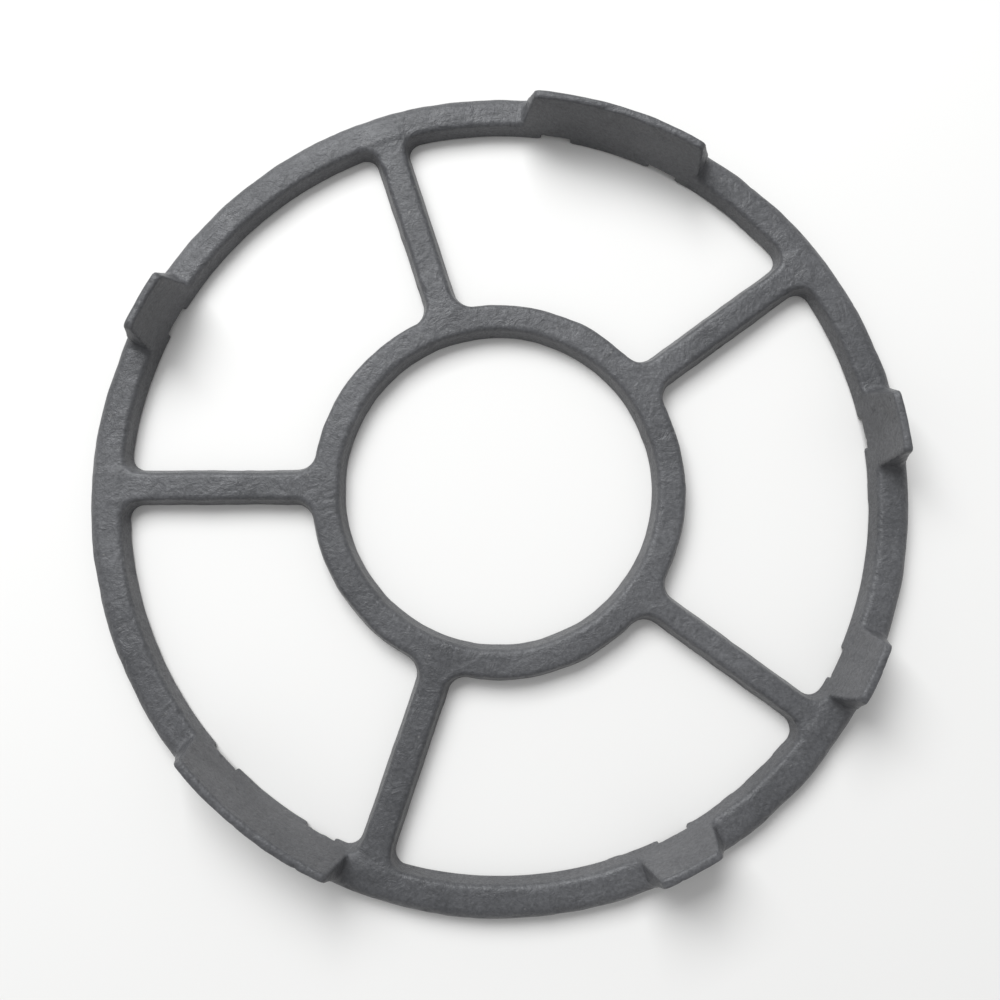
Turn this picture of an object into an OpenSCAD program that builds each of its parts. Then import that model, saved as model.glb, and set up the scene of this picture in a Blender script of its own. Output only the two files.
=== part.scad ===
// Cast trivet for a gas hob: an outer ring, a hub ring and flat spokes, with six wedge lugs standing on the outer ring
// and eight notches across its underside.
// One casting. Millimetres, +Z up, origin at the centre of the ring on its underside.
// Every side wall leans back from the underside up, as a casting's draft does, and every top edge is eased.

/* [Rings] */
// Outside diameter at the underside
outer_d = 180; // [170:1:200]
// Width of the outer ring at the underside
ring_w = 8.6; // [8:0.1:11]
// Diameter of the middle opening at the underside
hub_hole_d = 67.5; // [50:0.5:80]
// Width of the hub ring at the underside
hub_w = 7.6; // [7:0.1:11]
// Thickness of the rings and the spokes
thick = 5; // [4:0.5:7]

/* [Spokes] */
// Number of spokes
spoke_count = 5; // [3:1:6]
// Direction of the first spoke, in degrees
spoke_turn = 36; // [0:1:71]
// Width of a spoke at the underside
spoke_w = 7.5; // [7:0.1:10]
// Radius of the corners between spokes and rings
corner_r = 3; // [2:0.5:4]

/* [Draft and edges] */
// Lean of the walls round the openings, in mm for each mm of height
wall_lean = 0.22; // [0.1:0.02:0.24]
// Lean of the outer wall, in mm for each mm of height
rim_lean = 0.34; // [0.3:0.02:0.36]
// Size of the eased top edges round the openings
edge = 1; // [0.4:0.1:1]
// Size of the eased top edge of the outer wall
rim_edge = 1.2; // [0.4:0.1:1.4]

/* [Lugs] */
// Height of the lugs above the underside
lug_h = 16.3; // [12:0.1:20]
// Arc of a long lug along its top, in degrees
long_lug_arc = 26; // [20:0.5:30]
// Arc of a short lug along its top, in degrees
short_lug_arc = 8.8; // [6:0.2:12]
// Slope of the lugs' end faces from upright, in degrees
lug_end_slope = 11; // [4:1:15]
// Width of the narrow land along the top of a lug
lug_land_w = 1; // [0.9:0.1:1.6]
// Distance from the outer wall's foot in to the outer side of that land
lug_top_in = 4.75; // [4.5:0.05:5.2]

/* [Finger notches] */
// Direction of the notch that both finger layouts share, in degrees
finger_turn = 152.6; // [0:0.2:359.8]
// Width of a notch
notch_w = 6.8; // [5:0.1:9]
// Depth of a notch
notch_d = 1.5; // [1:0.1:2]

/* [Hidden] */
$fn = 96;
r_out = outer_d / 2;
r_in = r_out - ring_w;
hub_in = hub_hole_d / 2;
hub_out = hub_in + hub_w;
half_pitch = 180 / spoke_count;
cast_grey = [0.25, 0.255, 0.265];
// The notches suit pan supports with four fingers, and with five.
four_fingers = [0, 90, 180, 270];
five_fingers = [72, 144, 216, 288];
// A long lug stands over each pair of neighbouring notches, and a short one over each single notch.
long_lugs = [(72 + 90) / 2, (270 + 288) / 2];
short_lugs = [0, 144, 180, 216];
lug_foot_z = 0.44 * thick;  // height inside the ring at which a lug's two faces start
sink = 0.2;                 // how far behind the ring's walls they start
past = 1;                   // how far a cut runs past the face it goes through
ease = 0.03;                // how far a corner's curve dips under the walls it joins

// Points up a leaning wall and round its eased top edge: [distance back, height]
function wall(lean, e) = let (b = lean * (thick - e))
    [[0, 0], [b, thick - e], [b + 0.293 * e, thick - 0.293 * e], [b + e, thick]];

// The same wall for a cut, running past the underside and the top
function cut_wall(lean, e) = let (b = lean * (thick - e))
    [[-lean * past, -past], [b, thick - e], [b + 0.293 * e, thick - 0.293 * e],
     [b + 1.707 * e, thick + 0.293 * e], [b + 1.707 * e, thick + past]];

function upside(p) = [for (i = [len(p) - 1 : -1 : 0]) p[i]];

// The flat plate, from the middle opening out to the rim, before the windows are cut
module plate() {
    inner = wall(wall_lean, edge);
    outer = upside(wall(rim_lean, rim_edge));
    rotate_extrude()
        polygon(concat([for (p = inner) [hub_in + p[0], p[1]]], [for (p = outer) [r_out - p[0], p[1]]]));
}

// What is cut away between the hub ring and the outer ring, over +X and half a pitch to either side
module gap() {
    side = cut_wall(wall_lean, edge);
    rotate([0, 0, -half_pitch])
        rotate_extrude(angle = 2 * half_pitch)
            polygon(concat([for (p = side) [hub_out - p[0], p[1]]], [for (p = upside(side)) [r_in + p[0], p[1]]]));
}

// What a cut leaves standing as a straight spoke along +X
module spoke() {
    side = cut_wall(wall_lean, edge);
    h = spoke_w / 2;
    translate([hub_out - 8, 0, 0])
        rotate([90, 0, 90])
            linear_extrude(r_in - hub_out + 16)
                polygon(concat([for (p = side) [-h + p[0], p[1]]], [for (p = upside(side)) [h - p[0], p[1]]]));
}

// The space inside a round corner: a post that widens upwards just as the walls lean back
module corner_post() {
    side = cut_wall(wall_lean, edge);
    foot = [corner_r + ease - 2 * wall_lean * past, -2 * past];
    top = [corner_r + ease + side[4][0], thick + 2 * past];
    rotate_extrude()
        polygon(concat([[0, -2 * past], foot],
                       [for (i = [1 : 3]) [corner_r + ease + side[i][0], side[i][1]]], [top, [0, thick + 2 * past]]));
}

// What a cut leaves standing in one corner between a spoke along +X and a ring. c is the centre of the corner's curve,
// t the unit vector from it to the ring's wall, k how far along the spoke it reaches into the ring, s the spoke's side.
module corner_web(c, t, k, s) {
    back = wall_lean * (thick - edge) + edge + 0.35;
    foot = c + t * (corner_r + back);
    difference() {
        translate([0, 0, -1.5 * past])
            linear_extrude(thick + 3 * past)
                polygon([c, [c[0], s * (spoke_w / 2 - back)], [k, s * (spoke_w / 2 - back)], foot]);
        translate([c[0], c[1], 0]) corner_post();
    }
}

module hub_corner(s) {
    y = spoke_w / 2 + corner_r;
    a = hub_out + corner_r;
    c = [sqrt(a * a - y * y), s * y];
    corner_web(c, -c / a, hub_out - wall_lean * (thick - edge) - edge - 0.35, s);
}

module rim_corner(s) {
    y = spoke_w / 2 + corner_r;
    b = r_in - corner_r;
    c = [sqrt(b * b - y * y), s * y];
    corner_web(c, c / b, r_in + wall_lean * (thick - edge) + edge + 0.35, s);
}

// The cut for one window, over +X
module window() {
    difference() {
        gap();
        for (s = [-1, 1]) rotate([0, 0, s * half_pitch]) spoke();
        for (s = [-1, 1]) rotate([0, 0, s * half_pitch]) hub_corner(-s);
        for (s = [-1, 1]) rotate([0, 0, s * half_pitch]) rim_corner(-s);
    }
}

// A wedge lug over +X. Its inner face carries the ring's inner wall on up to a narrow land at the top, its outer face
// leans in, and its two ends slope.
module lug(arc) {
    land_out = r_out - lug_top_in;
    land_in = land_out - lug_land_w;
    reach = arc / 2 + 3.2;
    difference() {
        rotate([0, 0, -reach])
            rotate_extrude(angle = 2 * reach)
                polygon([
                    [r_in + ring_w / 2, lug_foot_z - 1],
                    [r_in + wall_lean * lug_foot_z + sink, lug_foot_z],
                    [land_in, lug_h - 0.4],
                    [land_in + 0.3, lug_h],
                    [land_out - 0.35, lug_h],
                    [land_out, lug_h - 0.4],
                    [r_out - rim_lean * lug_foot_z - sink, lug_foot_z]
                ]);
        for (s = [-1, 1])
            rotate([0, 0, s * arc / 2])
                translate([r_in - 10, 0, lug_h])
                    rotate([s * lug_end_slope, 0, 0])
                        translate([0, s > 0 ? 0 : -20, -30])
                            cube([ring_w + 20, 20, 40]);
    }
}

// A notch across the underside of the outer ring, over +X
module finger_notch() {
    translate([r_in - 5, -notch_w / 2, -5])
        cube([ring_w + 10, notch_w, notch_d + 5]);
}

module trivet() {
    color(cast_grey)
        difference() {
            union() {
                difference() {
                    plate();
                    for (i = [0 : spoke_count - 1])
                        rotate([0, 0, spoke_turn + (2 * i + 1) * half_pitch]) window();
                }
                for (a = long_lugs) rotate([0, 0, finger_turn + a]) lug(long_lug_arc);
                for (a = short_lugs) rotate([0, 0, finger_turn + a]) lug(short_lug_arc);
            }
            for (a = concat(four_fingers, five_fingers)) rotate([0, 0, finger_turn + a]) finger_notch();
        }
}

trivet();
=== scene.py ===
import math

import bpy
import numpy as np
from mathutils import Matrix, Vector


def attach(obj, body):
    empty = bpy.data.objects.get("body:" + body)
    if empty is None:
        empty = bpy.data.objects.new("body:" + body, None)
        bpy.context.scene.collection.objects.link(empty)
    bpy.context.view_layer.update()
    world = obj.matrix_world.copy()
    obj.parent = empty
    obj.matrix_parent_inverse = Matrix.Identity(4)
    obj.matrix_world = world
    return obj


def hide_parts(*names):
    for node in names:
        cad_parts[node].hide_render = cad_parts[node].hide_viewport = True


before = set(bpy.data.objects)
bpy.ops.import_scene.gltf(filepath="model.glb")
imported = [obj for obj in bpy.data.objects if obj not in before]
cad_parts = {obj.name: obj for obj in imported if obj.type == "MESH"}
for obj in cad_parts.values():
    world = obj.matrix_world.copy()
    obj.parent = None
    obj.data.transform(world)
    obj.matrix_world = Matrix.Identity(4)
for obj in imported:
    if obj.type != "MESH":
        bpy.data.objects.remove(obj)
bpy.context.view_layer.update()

# ---------------------------------------------------------------------------------------------------------------------
# Shape. All of it is one casting, so it is one piece. Lengths here are millimetres, in the CAD part's own frame: +Z up,
# the origin at the centre of the ring on its underside, angles from +X.
# ---------------------------------------------------------------------------------------------------------------------

THICK = 5.0
R_OUT, R_IN = 90.0, 81.4
HUB_OUT, HUB_IN = 41.38, 33.75
LEAN_IN, LEAN_RIM, LEAN_WEB = 0.172, 0.295, 0.20
LUG_H = 16.3
LUG_SLOPE = math.radians(11.0)
NOTCH_W, NOTCH_D = 6.8, 1.5

# direction in degrees, and the distance of the two feet from the centre line: + is the anticlockwise side
SPOKES = [
    (36.0, -3.86, 3.57),
    (108.0, -4.30, 3.40),
    (180.1, -4.20, 3.56),
    (251.2, -3.74, 3.83),
    (323.9, -3.62, 3.00),
]
# start and end along the top in degrees, height
LUGS = [
    (58.5, 84.6, 16.3),
    (148.4, 157.2, 16.3),
    (220.8, 246.3, 16.3),
    (292.1, 300.9, 16.3),
    (328.9, 337.5, 16.3),
    (4.4, 13.0, 16.3),
]
NOTCHES = [152.6 + a for a in (0, 90, 180, 270, 72, 144, 216, 288)]


def ramp(lo, hi, x):
    t = np.clip((x - lo) / (hi - lo), 0.0, 1.0)
    return t * t * (3.0 - 2.0 * t)


def round_union(a, b, r):
    return np.maximum(r, np.minimum(a, b)) - np.hypot(np.maximum(r - a, 0), np.maximum(r - b, 0))


def round_inter(a, b, r):
    return np.minimum(-r, np.maximum(a, b)) + np.hypot(np.maximum(r + a, 0), np.maximum(r + b, 0))


def _hash(ix, iy, iz, seed):
    h = (ix * 374761393 + iy * 668265263 + iz * 2147483647 + seed * 1274126177) & 0xFFFFFFFF
    h = ((h ^ (h >> 13)) * 1274126177) & 0xFFFFFFFF
    h = ((h ^ (h >> 16)) * 2246822519) & 0xFFFFFFFF
    return ((h ^ (h >> 15)) & 0xFFFFFF) / float(0xFFFFFF) * 2.0 - 1.0


def noise(x, y, z, size, seed):
    """Smooth noise in -1..1 with blobs about size mm across."""
    x, y, z = np.broadcast_arrays(np.asarray(x, float) / size, np.asarray(y, float) / size, np.asarray(z, float) / size)
    xi, yi, zi = np.floor(x), np.floor(y), np.floor(z)
    fx, fy, fz = x - xi, y - yi, z - zi
    fx, fy, fz = (f * f * f * (f * (f * 6 - 15) + 10) for f in (fx, fy, fz))
    xi, yi, zi = (v.astype(np.int64) for v in (xi, yi, zi))
    out = 0.0
    for dx in (0, 1):
        for dy in (0, 1):
            for dz in (0, 1):
                w = (fx if dx else 1 - fx) * (fy if dy else 1 - fy) * (fz if dz else 1 - fz)
                out = out + w * _hash(xi + dx, yi + dy, zi + dz, seed)
    return out


def angle_gap(th, at):
    """Signed degrees from direction at to th, in -180..180."""
    return (th - at + 180.0) % 360.0 - 180.0


def plan_fields(x, y):
    """Distances in plan at the underside: the whole outline, and the outer ring alone. Negative is metal."""
    r = np.hypot(x, y)
    wob = 0.10 * noise(x, y, 0, 6.5, 11) + 0.05 * noise(x, y, 0, 2.2, 12)
    ring = np.maximum(R_IN - r, r - R_OUT) + wob
    hub = np.maximum(HUB_IN - r, r - HUB_OUT) + wob
    spokes = np.full(r.shape, 50.0)
    for a, lo, hi in SPOKES:
        c, s = math.cos(math.radians(a)), math.sin(math.radians(a))
        u, v = x * c + y * s, -x * s + y * c
        d = np.maximum(v - hi, lo - v)
        d = np.maximum(d, np.maximum((HUB_IN + HUB_OUT) / 2 - u, u - (R_IN + R_OUT) / 2))
        spokes = np.minimum(spokes, d)
    spokes = spokes + wob
    plan = round_union(round_union(spokes, hub, 3.2), ring, 3.2)
    return plan, ring


def lug_height(th, r, z):
    """What stands above the flat top: distance to the lugs' tops and sloped ends."""
    best = np.full(np.broadcast(th, r, z).shape, 50.0)
    for a0, a1, h in LUGS:
        mid, half = (a0 + a1) / 2, (a1 - a0) / 2
        g = angle_gap(th, mid)
        s = np.radians(np.abs(g) - half) * r
        end = (s - (h - z) * math.tan(LUG_SLOPE)) * math.cos(LUG_SLOPE)
        best = np.minimum(best, round_inter(end, z - h + 0 * s, 1.1))
    return best


def field(x, y, z, plan=None):
    """Signed distance, about: negative inside the metal."""
    r = np.hypot(x, y)
    th = np.degrees(np.arctan2(y, x))
    whole, ring = plan_fields(x, y) if plan is None else plan
    rim = ramp(84.5, 87.0, r)
    near_rim = ramp(76.0, 79.0, r)
    lean = LEAN_WEB + (LEAN_IN - LEAN_WEB) * near_rim + (LEAN_RIM - LEAN_IN) * rim
    norm = 1.0 / np.sqrt(1.0 + lean * lean)
    top = z - THICK
    edge = 1.0 + 0.9 * rim
    flat = round_inter((whole + lean * z) * norm, top + 0 * r, edge)
    lugs = lug_height(th, r, z)
    tops = round_union(top + 0 * r, lugs, 1.1)
    soft = edge + (0.5 - edge) * ramp(THICK + 0.5, THICK + 4.0, z)
    stand = round_inter((ring + lean * z) * norm, tops, soft)
    f = round_union(flat, stand, 0.02 + 0.9 * ramp(0.3, 1.5, ring - whole))
    f = round_inter(f, -z + 0 * r, 0.3)
    # the notches across the underside
    for a in NOTCHES:
        c, s = math.cos(math.radians(a)), math.sin(math.radians(a))
        u, v = x * c + y * s, -x * s + y * c
        cut = np.maximum(np.abs(v) - NOTCH_W / 2, z - NOTCH_D)
        cut = np.maximum(cut, 60.0 - u)
        f = round_inter(f, -cut, 0.35)
    return f


# ---------------------------------------------------------------------------------------------------------------------
# Mesh: the field is sampled on a grid in angle, radius and height, and its surface is netted.
# ---------------------------------------------------------------------------------------------------------------------


def net():
    nt = 1140
    rs = np.arange(32.6, 91.2, 0.46)
    zs = np.concatenate([np.linspace(-0.5, 0.8, 6), np.linspace(1.3, 3.3, 5), np.linspace(3.6, 6.6, 11),
                         np.linspace(7.2, 15.0, 14), np.linspace(15.28, 17.24, 8)])
    ts = np.arange(nt) * 2 * math.pi / nt
    T, R = np.meshgrid(ts, rs, indexing="ij")
    X, Y = R * np.cos(T), R * np.sin(T)
    plan = plan_fields(X, Y)
    F = np.stack([field(X, Y, zz, plan) for zz in zs], axis=2)
    nr, nz = len(rs), len(zs)
    inside = F < 0
    idx = lambda i, j, k_: ((i % nt) * (nr - 1) + j) * (nz - 1) + k_
    ncell = nt * (nr - 1) * (nz - 1)
    acc = np.zeros((ncell, 3))
    cnt = np.zeros(ncell)
    quads = []

    def spread(P, cells):
        for c, ok in cells:
            for a in range(3):
                acc[:, a] += np.bincount(c[ok], P[ok, a], ncell)
            cnt[:] += np.bincount(c[ok], minlength=ncell)

    for axis in range(3):
        A = F
        B = np.roll(F, -1, 0) if axis == 0 else (F[:, 1:, :] if axis == 1 else F[:, :, 1:])
        if axis == 1:
            A = F[:, :-1, :]
        if axis == 2:
            A = F[:, :, :-1]
        i, j, k_ = np.nonzero((A < 0) != (B < 0))
        a, b = A[i, j, k_], B[i, j, k_]
        t = a / (a - b)
        th = ts[i] + (t * (2 * math.pi / nt) if axis == 0 else 0)
        rr = rs[j] + (t * (rs[1] - rs[0]) if axis == 1 else 0)
        zz = zs[k_] + (t * (zs[np.minimum(k_ + 1, nz - 1)] - zs[k_]) if axis == 2 else 0)
        P = np.stack([rr * np.cos(th), rr * np.sin(th), zz], 1)
        if axis == 0:
            offs = [(0, -1, -1), (0, 0, -1), (0, 0, 0), (0, -1, 0)]
        elif axis == 1:
            offs = [(-1, 0, -1), (-1, 0, 0), (0, 0, 0), (0, 0, -1)]
        else:
            offs = [(-1, -1, 0), (0, -1, 0), (0, 0, 0), (-1, 0, 0)]
        ok = np.ones(len(i), bool)
        cells = []
        for di, dj, dk in offs:
            jj, kk = j + dj, k_ + dk
            ok &= (jj >= 0) & (jj < nr - 1) & (kk >= 0) & (kk < nz - 1)
            cells.append(idx(i + di, jj, kk))
        spread(P, [(c, ok) for c in cells])
        q = np.stack(cells, 1)[ok]
        flip = a[ok] >= 0
        # axis order (angle, radius, height) is left-handed, so the winding is turned
        q[~flip] = q[~flip][:, ::-1]
        quads.append(q)
    quads = np.concatenate(quads)
    used = np.nonzero(cnt > 0)[0]
    remap = np.full(ncell, -1, np.int64)
    remap[used] = np.arange(len(used))
    V = acc[used] / cnt[used][:, None]
    return V, remap[quads]


def gradient(V, h=0.02):
    g = np.empty_like(V)
    for a in range(3):
        d = np.zeros(3)
        d[a] = h
        p, m = V + d, V - d
        g[:, a] = (field(p[:, 0], p[:, 1], p[:, 2]) - field(m[:, 0], m[:, 1], m[:, 2])) / (2 * h)
    return g


def settle(V, steps=2):
    """Moves points onto the field's surface."""
    for _ in range(steps):
        g = gradient(V)
        f = field(V[:, 0], V[:, 1], V[:, 2])
        V = V - g * np.clip(f / np.maximum((g * g).sum(1), 0.2), -0.3, 0.3)[:, None]
    return V


def make_casting():
    V, Q = net()
    V = settle(V)
    mesh = bpy.data.meshes.new("trivet_casting")
    mesh.from_pydata((V / 1000.0).tolist(), [], Q.tolist())
    mesh.validate()
    obj = bpy.data.objects.new("trivet_casting", mesh)
    bpy.context.scene.collection.objects.link(obj)
    return obj


casting = make_casting()
m = casting.data
want = 192000.0
if 2 * len(m.polygons) > want:
    mod = casting.modifiers.new("fewer", "DECIMATE")
    mod.ratio = want / (2 * len(m.polygons))
    dg = bpy.context.evaluated_depsgraph_get()
    new = bpy.data.meshes.new_from_object(casting.evaluated_get(dg))
    casting.modifiers.clear()
    casting.data = new
    new.name = "trivet_casting"
    m = new
V = np.empty(len(m.vertices) * 3)
m.vertices.foreach_get("co", V)
V = V.reshape(-1, 3) * 1000.0
V = settle(V, 1)
# the slightly uneven skin of a sand casting, fading out towards the flat underside
g = gradient(V)
g /= np.maximum(np.linalg.norm(g, axis=1), 1e-6)[:, None]
skin = 0.075 * noise(V[:, 0], V[:, 1], V[:, 2], 5.0, 31) + 0.04 * noise(V[:, 0], V[:, 1], V[:, 2], 2.1, 32)
pits = noise(V[:, 0], V[:, 1], V[:, 2], 1.5, 33)
skin = skin - 0.16 * ramp(0.62, 0.9, pits)
V = V + g * (skin * ramp(0.2, 1.0, V[:, 2]))[:, None]
V[:, 2] = np.maximum(V[:, 2], 0.0)
m.vertices.foreach_set("co", (V / 1000.0).ravel())
m.update()
for p in m.polygons:
    p.use_smooth = True
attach(casting, "root")
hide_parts("trivet")

# ---------------------------------------------------------------------------------------------------------------------
# Material
# ---------------------------------------------------------------------------------------------------------------------


def cast_iron():
    mat = bpy.data.materials.new("cast_iron")
    mat.use_nodes = True
    nt = mat.node_tree
    bsdf = nt.nodes["Principled BSDF"]
    link = nt.links.new

    def node(kind, **values):
        n = nt.nodes.new(kind)
        for name, value in values.items():
            n.inputs[name].default_value = value
        return n

    def grain(scale, detail, rough=0.55, warp=0.0, vector=None):
        n = node("ShaderNodeTexNoise", Scale=scale, Detail=detail, Roughness=rough, Distortion=warp)
        link(vector or coord, n.inputs["Vector"])
        return n.outputs[0]

    def ramped(value, stops):
        n = nt.nodes.new("ShaderNodeValToRGB")
        e = n.color_ramp.elements
        while len(e) < len(stops):
            e.new(0.5)
        for el, (at, c) in zip(e, stops):
            el.position = at
            el.color = (*c, 1) if isinstance(c, tuple) else (c, c, c, 1)
        link(value, n.inputs[0])
        return n.outputs[0]

    coord = node("ShaderNodeTexCoord").outputs["Object"]

    # colour: broad patches, fine grain over them, and a few small pale specks spread over every face alike
    patches = ramped(grain(30, 4), [(0.34, (0.064, 0.065, 0.069)), (0.66, (0.098, 0.099, 0.104))])
    grit = ramped(grain(1500, 5, 0.62), [(0.30, 0.70), (0.70, 1.26)])
    mixed = nt.nodes.new("ShaderNodeVectorMath")
    mixed.operation = "MULTIPLY"
    link(patches, mixed.inputs[0])
    link(grit, mixed.inputs[1])
    cells = node("ShaderNodeTexVoronoi", Scale=230.0)
    link(coord, cells.inputs["Vector"])
    specks = ramped(cells.outputs["Distance"], [(0.0, 0.75), (0.075, 0.0)])
    # small pale specks mixed over the colour, the same on every face
    speckled = nt.nodes.new("ShaderNodeMix")
    speckled.data_type = "RGBA"
    link(specks, speckled.inputs[0])
    link(mixed.outputs[0], speckled.inputs[6])
    speckled.inputs[7].default_value = (0.21, 0.205, 0.20, 1)
    link(speckled.outputs[2], bsdf.inputs["Base Color"])

    rough = node("ShaderNodeMapRange", **{"From Min": 0.3, "From Max": 0.7, "To Min": 0.36, "To Max": 0.54})
    link(grain(110, 5, 0.6), rough.inputs["Value"])
    link(rough.outputs[0], bsdf.inputs["Roughness"])

    # relief: sand grain, wrinkles, and fine scratches that run across
    turned = node("ShaderNodeMapping", Rotation=(0.0, 0.0, 0.7), Scale=(1.0, 8.0, 1.0))
    link(coord, turned.inputs["Vector"])
    scratches = ramped(grain(120, 2, vector=turned.outputs[0]), [(0.488, 0.0), (0.5, 1.0), (0.512, 0.0)])
    normal = None
    for height, strength, distance in ((grain(1100, 5, 0.62), 0.42, 0.0004), (grain(270, 4, 0.6, 1.2), 0.34, 0.0012),
                                       (scratches, 0.22, 0.0002)):
        bump = node("ShaderNodeBump", Strength=strength, Distance=distance)
        link(height, bump.inputs["Height"])
        if normal:
            link(normal, bump.inputs["Normal"])
        normal = bump.outputs[0]
    link(normal, bsdf.inputs["Normal"])
    return mat


casting.data.materials.clear()
casting.data.materials.append(cast_iron())

# ---------------------------------------------------------------------------------------------------------------------
# Floor, light and camera
# ---------------------------------------------------------------------------------------------------------------------

bpy.ops.mesh.primitive_plane_add(size=3.0, location=(0, 0, -0.0002))
floor = bpy.context.object
floor.name = "floor"
fm = bpy.data.materials.new("pale_floor")
fm.use_nodes = True
fb = fm.node_tree.nodes["Principled BSDF"]
fb.inputs["Base Color"].default_value = (0.83, 0.82, 0.80, 1)
fb.inputs["Roughness"].default_value = 0.6
floor.data.materials.append(fm)

world = bpy.data.worlds.new("studio")
bpy.context.scene.world = world
world.use_nodes = True
bg = world.node_tree.nodes["Background"]
bg.inputs["Color"].default_value = (0.97, 0.98, 1.0, 1)
bg.inputs["Strength"].default_value = 0.45


def area(name, loc, size, power, color, target=(0, 0, 0)):
    lamp = bpy.data.lights.new(name, "AREA")
    lamp.shape = "RECTANGLE"
    lamp.size, lamp.size_y = size
    lamp.energy = power
    lamp.color = color
    o = bpy.data.objects.new(name, lamp)
    bpy.context.scene.collection.objects.link(o)
    o.location = loc
    d = Vector(target) - Vector(loc)
    o.rotation_euler = d.to_track_quat("-Z", "Y").to_euler()
    return o


area("key", (-0.35, 0.75, 0.95), (0.9, 0.7), 18.0, (0.97, 0.985, 1.0))

cam_data = bpy.data.cameras.new("camera")
camera = bpy.data.objects.new("camera", cam_data)
bpy.context.scene.collection.objects.link(camera)
cam_data.sensor_width = 36.0
cam_data.lens = 1.061646 * 36.0
cam_data.shift_x = 0.01424
cam_data.shift_y = -0.08815
cam_data.clip_start = 0.01
rx, ry = -0.137967, -0.008202
M = Matrix.Rotation(rx, 3, "X") @ Matrix.Rotation(ry, 3, "Y")
camera.matrix_world = Matrix.Translation((-0.000844, -0.015508, 0.235)) @ M.transposed().to_4x4()
bpy.context.scene.camera = camera
bpy.context.scene.view_settings.view_transform = "Standard"
